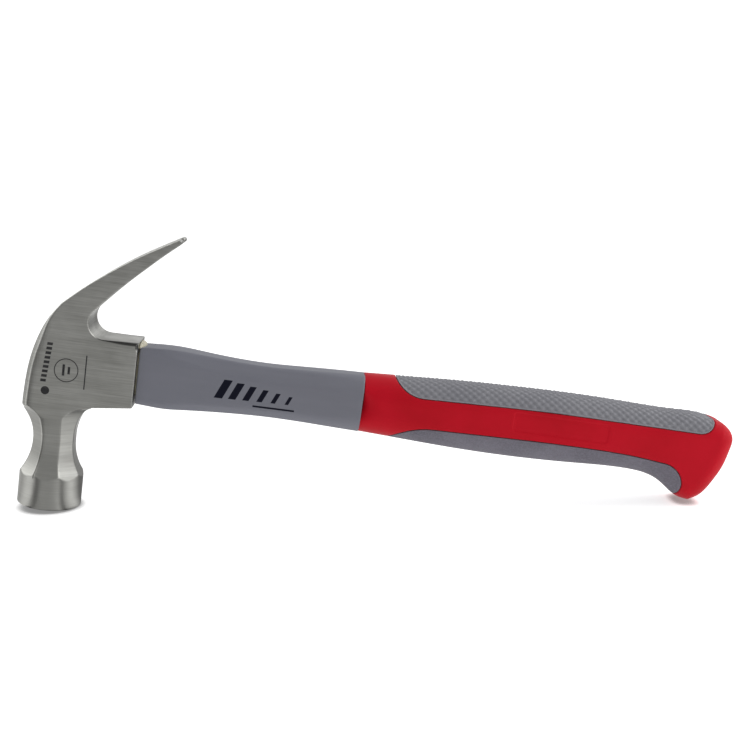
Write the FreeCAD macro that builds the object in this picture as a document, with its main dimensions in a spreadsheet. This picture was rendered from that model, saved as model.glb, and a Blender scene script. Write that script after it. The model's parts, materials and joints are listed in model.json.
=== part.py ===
import FreeCAD, Part

import math
import os

import Sketcher
from FreeCAD import Placement, Rotation, Vector

# Claw hammer, 16 oz class, with a fibreglass-cored handle.
#
# Every sub-part is drawn square: the origin is the centre of the striking face, +Z runs up the bell
# and the head, and +X runs along the handle. Each body's Placement then leans the whole hammer about
# the Y axis by lean_angle, so that the heel of the face and the butt of the grip both stand on one
# level floor, with +Z up.

SHEET_NAME = "dims"

DIMENSIONS = {
    # stance
    "lean_angle": 7.5,
    # clearance between pieces that are glued or moulded together
    "fit_gap": 0.1,
    # bell and neck
    "bell_radius": 14.4,
    "face_chamfer": 0.8,
    "bell_blank_height": 36.0,
    "blank_overlap": 1.0,
    "waist_half_width": 9.15,
    "lower_flare_radius": 26.5,
    "lower_flare_height": 30.2,
    "upper_flare_radius": 23.0,
    "upper_flare_height": 31.8,
    "upper_flare_slant": 1.4,
    "neck_top": 49.5,
    "neck_reach": 40.0,
    "facet_overshoot": 1.0,
    # cheeks and claw
    "cheek_width": 24.0,
    "crown_chamfer": 2.2,
    "crown_foot_x": -14.1,
    "crown_foot_z": 50.0,
    "heel_x": 16.5,
    "eye_end_x": 34.85,
    "eye_end_low": 51.6,
    "eye_end_high": 81.3,
    "throat_x": 19.6,
    "throat_z": 88.6,
    "throat_radius": 7.5,
    "claw_nose_x": 48.2,
    "claw_nose_z": 128.45,
    "claw_nose_radius": 1.1,
    "claw_back_slope": 31.5,
    "claw_under_slope": 43.0,
    "claw_tip_width": 22.4,
    "flank_overcut": 4.0,
    "slot_root_x": 19.0,
    "slot_root_radius": 0.9,
    "slot_mouth_x": 52.0,
    "slot_mouth_width": 8.4,
    "claw_floor": 86.5,
    # eye, resin and core
    "eye_height": 66.3,
    "eye_mouth_x": 36.0,
    "eye_mouth_width": 15.0,
    "eye_mouth_tall": 21.0,
    "eye_crown_x": -16.0,
    "eye_crown_width": 16.6,
    "eye_crown_tall": 23.0,
    "eye_corner": 5.0,
    "resin_recess": 0.4,
    "resin_trim_reach": 10.0,
    "resin_trim_top": 120.0,
    "stem_inset": 0.6,
    "stem_length": 1.5,
    "stem_setback": 1.0,
    "collar_thickness": 0.5,
    "collar_width": 15.6,
    "collar_tall": 26.0,
    "bead_half_width": 4.4,
    "bead_low": 79.15,
    "bead_rise": 1.7,
    "bead_length": 1.7,
    "core_width": 12.0,
    "core_tall": 17.6,
    "core_corner": 4.5,
    "core_start": -9.0,
    "core_end": 282.0,
    "core_hole_lead": 0.5,
    # handle
    "jacket_corner": 6.6,
    "grip_corner": 10.5,
    "grip_wall": 3.0,
    "butt_inset": 8.0,
    "butt_depth": 12.7,
    # windows of the two soft pads
    "pad_gap": 0.4,
    "window_above_z": 95.0,
    "window_below_z": 20.0,
    "upper_front_x": 166.0,
    "upper_front_radius": 16.0,
    "upper_rear_x": 294.8,
    "upper_rear_radius": 8.0,
    "upper_edge_z": 72.6,
    "upper_edge_bow": 1.0,
    "lower_front_x": 172.0,
    "lower_front_radius": 36.0,
    "lower_rear_x": 279.8,
    "lower_rear_radius": 11.3,
    "lower_front_z": 58.9,
    "lower_rear_z": 56.7,
    "lower_edge_bow": 1.4,
}

# Points (x, z) of the two long curves that no single arc follows.
CROWN_CURVE = ((0.0, 95.6), (-4.5, 89.4), (-8.9, 80.8), (-11.9, 70.9), (-13.5, 60.0))
CLAW_BACK_CURVE = ((6.7, 101.7), (14.6, 108.1), (29.8, 118.7), (42.5, 126.4))
CLAW_UNDER_CURVE = ((24.0, 104.3), (33.6, 113.7), (43.8, 123.2))

# The shortest edge that counts as one of the crown's two long edges.
CROWN_EDGE_LENGTH = 20.0

# A frame in side view, larger than the whole grip, that a pad is cut out of.
PAD_FRAME = ((100.0, -20.0), (360.0, -20.0), (360.0, 140.0), (100.0, 140.0))

# Handle sections: (x, lowest z, highest z, width).
JACKET_STATIONS = (
    (35.6, 52.7, 79.0, 17.6),
    (52.0, 51.9, 79.6, 18.0),
    (73.0, 53.1, 78.2, 18.0),
    (94.0, 53.8, 77.3, 18.2),
    (115.0, 53.3, 77.9, 19.4),
    (137.0, 52.3, 78.8, 22.0),
)

# Grip sections: (x at the bottom, lowest z, x at the top, highest z, width).
GRIP_STATIONS = (
    (137.0, 52.0, 137.0, 79.4, 23.2),
    (165.0, 50.5, 165.0, 80.4, 26.0),
    (205.0, 49.1, 205.0, 81.5, 27.0),
    (245.0, 49.7, 245.0, 81.4, 27.0),
    (268.0, 49.7, 268.0, 80.8, 26.6),
    (281.0, 47.2, 288.0, 80.4, 26.6),
    (293.0, 38.6, 306.5, 80.1, 27.4),
)

# The grip runs straight through its first sections, then flares down to the butt.
LAST_STRAIGHT = 5
LAST_STATION = len(GRIP_STATIONS)

# Angles along the quarter ellipse that rounds the butt off, in degrees.
BUTT_ROUNDING = (25, 45, 65, 82)


def new_sheet(doc):
    """The spreadsheet of driving dimensions, one row each, with its name as the cell's alias."""
    sheet = doc.addObject("Spreadsheet::Sheet", SHEET_NAME)
    rows = dict(DIMENSIONS)
    for number, (x, low, high, width) in enumerate(JACKET_STATIONS, 1):
        rows[f"jacket_x_{number}"] = x
        rows[f"jacket_z_{number}"] = (low + high) / 2
        rows[f"jacket_tall_{number}"] = high - low
        rows[f"jacket_width_{number}"] = width
    for number, (low_x, low, high_x, high, width) in enumerate(GRIP_STATIONS, 1):
        rows[f"grip_x_{number}"] = (low_x + high_x) / 2
        rows[f"grip_z_{number}"] = (low + high) / 2
        rows[f"grip_tall_{number}"] = math.hypot(high_x - low_x, high - low)
        rows[f"grip_tilt_{number}"] = math.degrees(math.atan2(high_x - low_x, high - low))
        rows[f"grip_width_{number}"] = width
    for row, (alias, value) in enumerate(rows.items(), 1):
        sheet.set(f"A{row}", alias)
        sheet.set(f"B{row}", repr(float(value)))
        sheet.setAlias(f"B{row}", alias)
    doc.recompute()
    return sheet


def cell(alias):
    """The expression that reads one driving dimension."""
    return f"{SHEET_NAME}.{alias}"


def value(expression):
    """The number an expression on the sheet gives now."""
    return float(FreeCAD.ActiveDocument.getObject(SHEET_NAME).evalExpression(expression))


def new_body(doc, name):
    """A body with its own label, leaned with the rest of the hammer."""
    body = doc.addObject("PartDesign::Body", name)
    body.Label = name
    body.Placement = Placement(Vector(), Rotation(Vector(0, 1, 0), value(cell("lean_angle"))))
    body.setExpression("Placement.Rotation.Angle", cell("lean_angle"))
    return body


def new_sketch(body, name, role, offset=Placement()):
    """A sketch on one of its own body's origin planes."""
    sketch = body.newObject("Sketcher::SketchObject", name)
    plane = next(feature for feature in body.Origin.OriginFeatures if feature.Role == role)
    sketch.AttachmentSupport = (plane, [""])
    sketch.MapMode = "FlatFace"
    sketch.AttachmentOffset = offset
    return sketch


def line(start, end):
    return Part.LineSegment(Vector(*start, 0), Vector(*end, 0))


def arc_through(start, middle, end):
    return Part.Arc(Vector(*start, 0), Vector(*middle, 0), Vector(*end, 0))


def smooth_curve(points):
    """A spline through the points of an outline."""
    spline = Part.BSplineCurve()
    spline.interpolate([Vector(x, z, 0) for x, z in points])
    return spline


def polar(centre, radius, degrees):
    """The point at an angle on a circle."""
    angle = math.radians(degrees)
    return (centre[0] + radius * math.cos(angle), centre[1] + radius * math.sin(angle))


def draw_polygon(sketch, corners):
    """A closed polygon."""
    for start, end in zip(corners, corners[1:] + corners[:1]):
        sketch.addGeometry(line(start, end))


def dimension(sketch, name, constraint, expression):
    """Adds a named constraint whose size is bound to the sheet."""
    index = sketch.addConstraint(constraint)
    sketch.renameConstraint(index, name)
    sketch.setExpression(f"Constraints.{name}", expression)


def draw_circle(sketch, radius):
    """A circle about the sketch's origin."""
    sketch.addGeometry(Part.Circle(Vector(), Vector(0, 0, 1), value(radius)))
    sketch.addConstraint(Sketcher.Constraint("Coincident", 0, 3, -1, 1))
    dimension(sketch, "radius", Sketcher.Constraint("Radius", 0, value(radius)), radius)


def draw_rounded_rectangle(sketch, width, height, corner):
    """A rectangle with round corners about the sketch's origin, sized by three expressions."""
    half_width = value(width) / 2
    half_height = value(height) / 2
    radius = value(corner)
    flat_x = half_width - radius
    flat_y = half_height - radius
    sketch.addGeometry(line((-flat_x, -half_height), (flat_x, -half_height)))
    sketch.addGeometry(line((half_width, -flat_y), (half_width, flat_y)))
    sketch.addGeometry(line((flat_x, half_height), (-flat_x, half_height)))
    sketch.addGeometry(line((-half_width, flat_y), (-half_width, -flat_y)))
    centres = ((flat_x, -flat_y), (flat_x, flat_y), (-flat_x, flat_y), (-flat_x, -flat_y))
    for number, (x, y) in enumerate(centres):
        start = math.radians(90 * number - 90)
        circle = Part.Circle(Vector(x, y, 0), Vector(0, 0, 1), radius)
        sketch.addGeometry(Part.ArcOfCircle(circle, start, start + math.pi / 2))
    for side in range(4):
        arc = side + 4
        direction = "Horizontal" if side % 2 == 0 else "Vertical"
        sketch.addConstraint(Sketcher.Constraint(direction, side))
        sketch.addConstraint(Sketcher.Constraint("Tangent", side, 2, arc, 1))
        sketch.addConstraint(Sketcher.Constraint("Tangent", arc, 2, (side + 1) % 4, 1))
        if side:
            sketch.addConstraint(Sketcher.Constraint("Equal", 4, arc))
    sketch.addConstraint(Sketcher.Constraint("Symmetric", 4, 3, 6, 3, -1, 1))
    dimension(sketch, "corner", Sketcher.Constraint("Radius", 4, radius), corner)
    dimension(sketch, "wide", Sketcher.Constraint("DistanceX", 3, 1, 1, 1, 2 * half_width), width)
    dimension(sketch, "tall", Sketcher.Constraint("DistanceY", 0, 1, 2, 1, 2 * half_height), height)


def section_sketch(body, name, x, z, tilt, size):
    """A rounded rectangle on a plane across the handle; size is its width, height and corner."""
    offset = Placement(Vector(0, value(z), value(x)), Rotation(Vector(1, 0, 0), value(tilt)))
    sketch = new_sketch(body, name, "YZ_Plane", offset)
    sketch.setExpression("AttachmentOffset.Base.y", z)
    sketch.setExpression("AttachmentOffset.Base.z", x)
    if value(tilt):
        sketch.setExpression("AttachmentOffset.Rotation.Angle", tilt)
    draw_rounded_rectangle(sketch, *size)
    return sketch


def add_loft(body, kind, name, sections):
    """A smooth additive or subtractive loft through section sketches."""
    loft = body.newObject(f"PartDesign::{kind}Loft", name)
    loft.Profile = sections[0]
    loft.Sections = sections[1:]
    return loft


def add_pad(body, name, sketch, length, symmetric=False):
    """A pad along the sketch's normal, or to both sides of it."""
    pad = body.newObject("PartDesign::Pad", name)
    pad.Profile = sketch
    pad.setExpression("Length", length)
    if symmetric:
        pad.SideType = "Symmetric"
    return pad


def add_pocket(doc, body, name, sketch, upward=False):
    """A pocket through everything, to both sides of its sketch or only upward."""
    doc.recompute()
    before = body.Shape.Volume
    pocket = body.newObject("PartDesign::Pocket", name)
    pocket.Profile = sketch
    pocket.Type = "ThroughAll"
    if upward:
        pocket.Reversed = True
    else:
        pocket.SideType = "Symmetric"
    doc.recompute()
    if body.Shape.Volume > before - 0.01:
        raise RuntimeError(f"pocket {name} of {body.Label} removed nothing")
    return pocket


def chamfer_edges(doc, body, name, size, wanted):
    """A chamfer on the edges whose middle point passes the test."""
    doc.recompute()
    feature = body.Tip
    edges = []
    for number, edge in enumerate(feature.Shape.Edges, 1):
        middle = edge.valueAt((edge.FirstParameter + edge.LastParameter) / 2)
        if wanted(edge, middle):
            edges.append(f"Edge{number}")
    if not edges:
        raise RuntimeError(f"{name} of {body.Label} found no edge")
    chamfer = body.newObject("PartDesign::Chamfer", name)
    chamfer.Base = (feature, edges)
    chamfer.setExpression("Size", size)
    doc.recompute()


def crown_points():
    """The crown's curve in side view, from the claw's root down to its foot."""
    return CROWN_CURVE + ((value(cell("crown_foot_x")), value(cell("crown_foot_z"))),)


def head_outline(sketch):
    """The side view of cheeks and claw, closed below by a foot that the neck's facets trim."""
    foot_x = value(cell("crown_foot_x"))
    foot_z = value(cell("crown_foot_z"))
    blank_top = value(cell("bell_blank_height")) - value(cell("blank_overlap"))
    heel_x = value(cell("heel_x"))
    neck_top = value(cell("neck_top"))
    end_x = value(cell("eye_end_x"))
    end_low = value(cell("eye_end_low"))
    end_high = value(cell("eye_end_high"))
    nose = (value(cell("claw_nose_x")), value(cell("claw_nose_z")))
    nose_radius = value(cell("claw_nose_radius"))
    back_angle = value(cell("claw_back_slope")) + 90
    under_angle = value(cell("claw_under_slope")) - 90
    nose_back = polar(nose, nose_radius, back_angle)
    nose_front = polar(nose, nose_radius, (back_angle + under_angle) / 2)
    nose_under = polar(nose, nose_radius, under_angle)
    throat = (value(cell("throat_x")), value(cell("throat_z")))
    throat_radius = value(cell("throat_radius"))
    throat_low = polar(throat, throat_radius, 270)
    throat_back = polar(throat, throat_radius, 190)
    throat_high = polar(throat, throat_radius, 130)
    crown = crown_points()
    sketch.addGeometry(smooth_curve(crown))
    sketch.addGeometry(line((foot_x, foot_z), (foot_x, blank_top)))
    sketch.addGeometry(line((foot_x, blank_top), (heel_x, blank_top)))
    sketch.addGeometry(line((heel_x, blank_top), (heel_x, neck_top)))
    sketch.addGeometry(line((heel_x, neck_top), (end_x, end_low)))
    sketch.addGeometry(line((end_x, end_low), (end_x, end_high)))
    sketch.addGeometry(line((end_x, end_high), throat_low))
    sketch.addGeometry(arc_through(throat_low, throat_back, throat_high))
    sketch.addGeometry(smooth_curve((throat_high,) + CLAW_UNDER_CURVE + (nose_under,)))
    sketch.addGeometry(arc_through(nose_under, nose_front, nose_back))
    sketch.addGeometry(smooth_curve((nose_back,) + tuple(reversed(CLAW_BACK_CURVE)) + (crown[0],)))


def neck_facet(doc, body, number, angle):
    """Planes off one side of the neck: a hollow flare up from the bell and another into the cheeks."""
    reach = value(cell("neck_reach"))
    waist = value(cell("waist_half_width"))
    low_radius = value(cell("lower_flare_radius"))
    low_z = value(cell("lower_flare_height"))
    high_radius = value(cell("upper_flare_radius"))
    slant = value(cell("upper_flare_slant")) * math.cos(math.radians(angle))
    high_z = value(cell("upper_flare_height")) + slant
    top = value(cell("neck_top"))
    bell = value(cell("bell_radius")) + value(cell("facet_overshoot"))
    low_centre = (waist + low_radius, low_z)
    high_centre = (waist + high_radius, high_z)
    low_angle = 180 + math.degrees(math.acos((low_centre[0] - bell) / low_radius))
    high_angle = 180 - math.degrees(math.asin((top - high_z) / high_radius))
    low_start = polar(low_centre, low_radius, low_angle)
    low_middle = polar(low_centre, low_radius, (low_angle + 180) / 2)
    high_middle = polar(high_centre, high_radius, (high_angle + 180) / 2)
    high_end = polar(high_centre, high_radius, high_angle)
    turn = Placement(Vector(), Rotation(Vector(0, 1, 0), angle))
    sketch = new_sketch(body, f"neck_facet_outline_{number}", "XZ_Plane", turn)
    sketch.addGeometry(arc_through(low_start, low_middle, (waist, low_z)))
    sketch.addGeometry(line((waist, low_z), (waist, high_z)))
    sketch.addGeometry(arc_through((waist, high_z), high_middle, high_end))
    sketch.addGeometry(line(high_end, (reach, top)))
    sketch.addGeometry(line((reach, top), (reach, low_start[1])))
    sketch.addGeometry(line((reach, low_start[1]), low_start))
    add_pocket(doc, body, f"neck_facet_{number}", sketch)


def claw_slot(doc, body):
    """The V-shaped nail slot, with a round root, and the slight taper of the prongs' outer sides."""
    root_x = value(cell("slot_root_x"))
    radius = value(cell("slot_root_radius"))
    mouth_x = value(cell("slot_mouth_x"))
    mouth = value(cell("slot_mouth_width")) / 2
    cheek = value(cell("cheek_width")) / 2
    tip_half = value(cell("claw_tip_width")) / 2
    tip_x = value(cell("claw_nose_x")) + value(cell("claw_nose_radius"))
    over = value(cell("flank_overcut"))
    floor = Placement(Vector(0, 0, value(cell("claw_floor"))), Rotation())
    slot = new_sketch(body, "claw_slot_outline", "XY_Plane", floor)
    slot.addGeometry(line((root_x, radius), (mouth_x, mouth)))
    slot.addGeometry(line((mouth_x, mouth), (mouth_x, -mouth)))
    slot.addGeometry(line((mouth_x, -mouth), (root_x, -radius)))
    slot.addGeometry(arc_through((root_x, -radius), (root_x - radius, 0), (root_x, radius)))
    add_pocket(doc, body, "claw_slot", slot, upward=True)
    flanks = new_sketch(body, "claw_flank_outline", "XY_Plane", floor)
    for side in (1, -1):
        corners = [(0, side * cheek), (tip_x, side * tip_half)]
        corners += [(tip_x + over, side * tip_half), (tip_x + over, side * (cheek + over))]
        corners += [(0, side * (cheek + over))]
        draw_polygon(flanks, corners)
    add_pocket(doc, body, "claw_flanks", flanks, upward=True)


def eye_sections(body, name, clearance):
    """The tapered eye's two sections, with a clearance all round for the piece that fills it."""
    sections = []
    for place in ("crown", "mouth"):
        width = f"{cell(f'eye_{place}_width')} - 2 * {clearance}"
        tall = f"{cell(f'eye_{place}_tall')} - 2 * {clearance}"
        size = (width, tall, f"{cell('eye_corner')} - {clearance}")
        x = cell(f"eye_{place}_x")
        sections.append(section_sketch(body, f"{name}_{place}", x, cell("eye_height"), "0", size))
    return sections


def build_hammer_head(doc):
    """The forged head: bell, octagonal neck, cheeks with the eye, and the curved claw."""
    body = new_body(doc, "hammer_head")
    bell = new_sketch(body, "bell_outline", "XY_Plane")
    draw_circle(bell, cell("bell_radius"))
    add_pad(body, "bell_blank", bell, cell("bell_blank_height"))
    doc.recompute()
    rim_size = cell("face_chamfer")
    rim_top = value(rim_size)
    chamfer_edges(doc, body, "face_rim", rim_size, lambda edge, middle: middle.z < rim_top)
    outline = new_sketch(body, "cheek_outline", "XZ_Plane")
    head_outline(outline)
    add_pad(body, "cheeks_and_claw", outline, cell("cheek_width"), symmetric=True)
    claw_slot(doc, body)
    for number in range(8):
        neck_facet(doc, body, number + 1, 45 * number)
    add_loft(body, "Subtractive", "eye", eye_sections(body, "eye_section", "0"))
    cheek = value(cell("cheek_width")) / 2
    foot_z = value(cell("crown_foot_z"))
    crown_top = CROWN_CURVE[0][1]

    def on_crown(edge, middle):
        """The two long edges between the crown's curve and the cheek flats."""
        along_crown = middle.x < CROWN_CURVE[0][0] and foot_z < middle.z < crown_top
        on_cheek = abs(abs(middle.y) - cheek) < 0.01
        return along_crown and on_cheek and edge.Length > CROWN_EDGE_LENGTH

    chamfer_edges(doc, body, "crown_chamfer", cell("crown_chamfer"), on_crown)
    return body


def build_fibreglass_core(doc):
    """The pultruded rod that carries the head."""
    body = new_body(doc, "fibreglass_core")
    size = (cell("core_width"), cell("core_tall"), cell("core_corner"))
    section = section_sketch(body, "core_section", cell("core_start"), cell("eye_height"), "0", size)
    add_pad(body, "rod", section, f"{cell('core_end')} - {cell('core_start')}")
    return body


def cut_core_hole(doc, body, x):
    """A pocket for the core, with the fit's clearance all round."""
    gap = f"2 * {cell('fit_gap')}"
    size = (f"{cell('core_width')} + {gap}", f"{cell('core_tall')} + {gap}")
    size += (f"{cell('core_corner')} + {cell('fit_gap')}",)
    section = section_sketch(body, "core_hole_section", x, cell("eye_height"), "0", size)
    doc.recompute()
    before = body.Shape.Volume
    pocket = body.newObject("PartDesign::Pocket", "core_hole")
    pocket.Profile = section
    pocket.Type = "Length"
    pocket.Reversed = True
    pocket.setExpression("Length", f"{cell('core_end')} + {cell('fit_gap')} - ({x})")
    doc.recompute()
    if body.Shape.Volume > before - 0.01:
        raise RuntimeError(f"core hole of {body.Label} removed nothing")


def build_eye_resin(doc):
    """The cast resin: a tapered filling of the eye, a thin collar and a bead at the jacket's root."""
    body = new_body(doc, "eye_resin")
    add_loft(body, "Additive", "filling", eye_sections(body, "filling_section", cell("fit_gap")))
    end_x = value(cell("eye_end_x"))
    recess = value(cell("resin_recess"))
    trim = new_sketch(body, "trim_outline", "XZ_Plane")
    crown = [(x + recess, z) for x, z in crown_points()]
    reach = value(cell("resin_trim_reach"))
    top = value(cell("resin_trim_top"))
    far_left = value(cell("eye_crown_x")) - reach
    trim.addGeometry(smooth_curve(crown))
    trim.addGeometry(line(crown[-1], (far_left, crown[-1][1])))
    trim.addGeometry(line((far_left, crown[-1][1]), (far_left, crown[0][1])))
    trim.addGeometry(line((far_left, crown[0][1]), crown[0]))
    draw_polygon(trim, [(end_x, 0), (end_x + reach, 0), (end_x + reach, top), (end_x, top)])
    add_pocket(doc, body, "trim", trim)
    collar_x = f"{cell('eye_end_x')} + {cell('fit_gap')} / 2"
    size = (cell("collar_width"), cell("collar_tall"), cell("eye_corner"))
    inset = cell("stem_inset")
    stem_x = f"{cell('eye_end_x')} - {cell('stem_setback')}"
    stem_size = (f"{cell('eye_mouth_width')} - {inset}", f"{cell('eye_mouth_tall')} - {inset}")
    stem_size += (cell("eye_corner"),)
    stem = section_sketch(body, "stem_section", stem_x, cell("eye_height"), "0", stem_size)
    add_pad(body, "stem", stem, cell("stem_length"))
    collar = section_sketch(body, "collar_section", collar_x, cell("eye_height"), "0", size)
    add_pad(body, "collar", collar, cell("collar_thickness"))
    bead = new_sketch(body, "bead_outline", "YZ_Plane", Placement(Vector(0, 0, value(collar_x)), Rotation()))
    low = value(cell("bead_low"))
    half = value(cell("bead_half_width"))
    bead.addGeometry(line((half, low), (-half, low)))
    bead.addGeometry(arc_through((-half, low), (0, low + value(cell("bead_rise"))), (half, low)))
    add_pad(body, "bead", bead, cell("bead_length"))
    start = f"{cell('core_start')} - {cell('fit_gap')}"
    cut_core_hole(doc, body, start)
    return body


def grip_section(body, name, number, inset, shift="0"):
    """One of the grip's sections, drawn in by an inset and moved along by a small shift."""
    width = f"{cell(f'grip_width_{number}')} - 2 * {inset}"
    tall = f"{cell(f'grip_tall_{number}')} - 2 * {inset}"
    size = (width, tall, f"{cell('grip_corner')} - {inset}")
    place = (f"{cell(f'grip_x_{number}')} + {shift}", cell(f"grip_z_{number}"), cell(f"grip_tilt_{number}"))
    return section_sketch(body, f"{name}_{number}", *place, size)


def butt_sections(body, name):
    """The sections past the last station, which shrink along a quarter ellipse to round the butt."""
    tilt = cell(f"grip_tilt_{LAST_STATION}")
    sections = []
    for angle in BUTT_ROUNDING:
        inset = f"{cell('butt_inset')} * (1 - cos({angle}))"
        forward = f"{cell('butt_depth')} * sin({angle})"
        x = f"{cell(f'grip_x_{LAST_STATION}')} + {forward} * cos({tilt})"
        z = f"{cell(f'grip_z_{LAST_STATION}')} - {forward} * sin({tilt})"
        width = f"{cell(f'grip_width_{LAST_STATION}')} - 2 * {inset}"
        tall = f"{cell(f'grip_tall_{LAST_STATION}')} - 2 * {inset}"
        size = (width, tall, f"{cell('grip_corner')} - {inset}")
        sections.append(section_sketch(body, f"{name}_butt_{angle}", x, z, tilt, size))
    return sections


def add_grip_form(body, kind, name, inset="0", first_shift="0", last_shift="0", butt=False):
    """The grip's form as two lofts: a smooth straight run, then a flare that may end in the butt."""
    shifts = {1: first_shift, LAST_STATION: last_shift}
    sections = []
    for number in range(1, LAST_STATION + 1):
        sections.append(grip_section(body, name, number, inset, shifts.get(number, "0")))
    run = sections[:LAST_STRAIGHT]
    flare = sections[LAST_STRAIGHT - 1:]
    if butt:
        flare += butt_sections(body, name)
    add_loft(body, kind, f"{name}_run", run)
    add_loft(body, kind, f"{name}_flare", flare).Ruled = True


def build_handle_jacket(doc):
    """The moulded jacket: its bare front part and the thinner tang that the grip covers."""
    body = new_body(doc, "handle_jacket")
    sections = []
    for number in range(1, len(JACKET_STATIONS) + 1):
        size = (cell(f"jacket_width_{number}"), cell(f"jacket_tall_{number}"), cell("jacket_corner"))
        place = (cell(f"jacket_x_{number}"), cell(f"jacket_z_{number}"), "0")
        sections.append(section_sketch(body, f"jacket_section_{number}", *place, size))
    add_loft(body, "Additive", "bare_part", sections)
    inset = f"({cell('grip_wall')} + {cell('fit_gap')})"
    add_grip_form(body, "Additive", "tang", inset)
    cut_core_hole(doc, body, f"{cell('jacket_x_1')} - {cell('core_hole_lead')}")
    return body


def add_grip_shell(body, name):
    """The grip's outer form, hollowed where the jacket's tang goes."""
    gap = cell("fit_gap")
    add_grip_form(body, "Additive", f"{name}_form", first_shift=gap, butt=True)
    add_grip_form(body, "Subtractive", f"{name}_cavity", cell("grip_wall"), "-1", gap)


def bowed(start, end, bow):
    """The middle point of a long edge that bows by a small height."""
    return ((start[0] + end[0]) / 2, (start[1] + end[1]) / 2 + bow)


def upper_window(sketch, grow):
    """The side view of the upper pad: two round lower corners, open above the grip."""
    above = value(cell("window_above_z"))
    edge = value(cell("upper_edge_z"))
    front_radius = value(cell("upper_front_radius"))
    rear_radius = value(cell("upper_rear_radius"))
    front = (value(cell("upper_front_x")), edge + front_radius)
    rear = (value(cell("upper_rear_x")), edge + rear_radius)
    front_radius += grow
    rear_radius += grow
    front_high = polar(front, front_radius, 180)
    front_low = polar(front, front_radius, 270)
    rear_low = polar(rear, rear_radius, 270)
    rear_high = polar(rear, rear_radius, 360)
    bow = value(cell("upper_edge_bow"))
    sketch.addGeometry(line((front_high[0], above), front_high))
    sketch.addGeometry(arc_through(front_high, polar(front, front_radius, 225), front_low))
    sketch.addGeometry(arc_through(front_low, bowed(front_low, rear_low, bow), rear_low))
    sketch.addGeometry(arc_through(rear_low, polar(rear, rear_radius, 315), rear_high))
    sketch.addGeometry(line(rear_high, (rear_high[0], above)))
    sketch.addGeometry(line((rear_high[0], above), (front_high[0], above)))


def lower_window(sketch, grow):
    """The side view of the lower pad: a long bowed upper edge with round ends, open below."""
    below = value(cell("window_below_z"))
    front_radius = value(cell("lower_front_radius"))
    rear_radius = value(cell("lower_rear_radius"))
    front = (value(cell("lower_front_x")), value(cell("lower_front_z")) - front_radius)
    rear = (value(cell("lower_rear_x")), value(cell("lower_rear_z")) - rear_radius)
    front_radius += grow
    rear_radius += grow
    front_low = polar(front, front_radius, 145)
    front_high = polar(front, front_radius, 90)
    rear_high = polar(rear, rear_radius, 90)
    rear_low = polar(rear, rear_radius, -60)
    bow = value(cell("lower_edge_bow"))
    sketch.addGeometry(line((front_low[0], below), front_low))
    sketch.addGeometry(arc_through(front_low, polar(front, front_radius, 117), front_high))
    sketch.addGeometry(arc_through(front_high, bowed(front_high, rear_high, bow), rear_high))
    sketch.addGeometry(arc_through(rear_high, polar(rear, rear_radius, 15), rear_low))
    sketch.addGeometry(line(rear_low, (rear_low[0], below)))
    sketch.addGeometry(line((rear_low[0], below), (front_low[0], below)))


def build_grip_sleeve(doc):
    """The soft sleeve: collar, side bands and flared butt, with a window for each pad."""
    body = new_body(doc, "grip_sleeve")
    add_grip_shell(body, "sleeve")
    grow = value(cell("pad_gap"))
    for name, draw_window in (("upper", upper_window), ("lower", lower_window)):
        window = new_sketch(body, f"{name}_window_outline", "XZ_Plane")
        draw_window(window, grow)
        add_pocket(doc, body, f"{name}_window", window)
    return body


def build_pad(doc, name, draw_window):
    """A soft pad: the part of the grip's shell that shows through one window of the sleeve."""
    body = new_body(doc, name)
    add_grip_shell(body, "pad")
    around = new_sketch(body, "outside_outline", "XZ_Plane")
    draw_window(around, 0)
    draw_polygon(around, PAD_FRAME)
    add_pocket(doc, body, "outside", around)
    return body


def check_document(doc, bodies):
    """Stops before anything is written if an object failed or a sub-part's shape isn't sound."""
    doc.recompute()
    for item in doc.Objects:
        if "Invalid" in item.State or "Error" in item.State:
            raise RuntimeError(f"{item.Label} failed: {item.State}")
    for body in bodies:
        shape = body.Shape
        if shape.isNull() or not shape.isValid():
            raise RuntimeError(f"{body.Label} has no sound shape")
        if len(shape.Solids) != 1:
            raise RuntimeError(f"{body.Label} has {len(shape.Solids)} solids")


def main():
    doc = FreeCAD.newDocument("claw_hammer")
    new_sheet(doc)
    bodies = [
        build_hammer_head(doc),
        build_eye_resin(doc),
        build_fibreglass_core(doc),
        build_handle_jacket(doc),
        build_grip_sleeve(doc),
        build_pad(doc, "upper_grip_pad", upper_window),
        build_pad(doc, "lower_grip_pad", lower_window),
    ]
    check_document(doc, bodies)
    os.makedirs("parts", exist_ok=True)
    for body in bodies:
        body.Shape.exportStep(f"parts/{body.Label}.step")
        box = body.Shape.BoundBox
        print(f"{body.Label}: {body.Shape.Volume / 1000:.2f} cm3, box {box}")


main()
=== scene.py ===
import json
import math

import bpy
import numpy as np
import openvdb
from mathutils import Matrix, Vector


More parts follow.
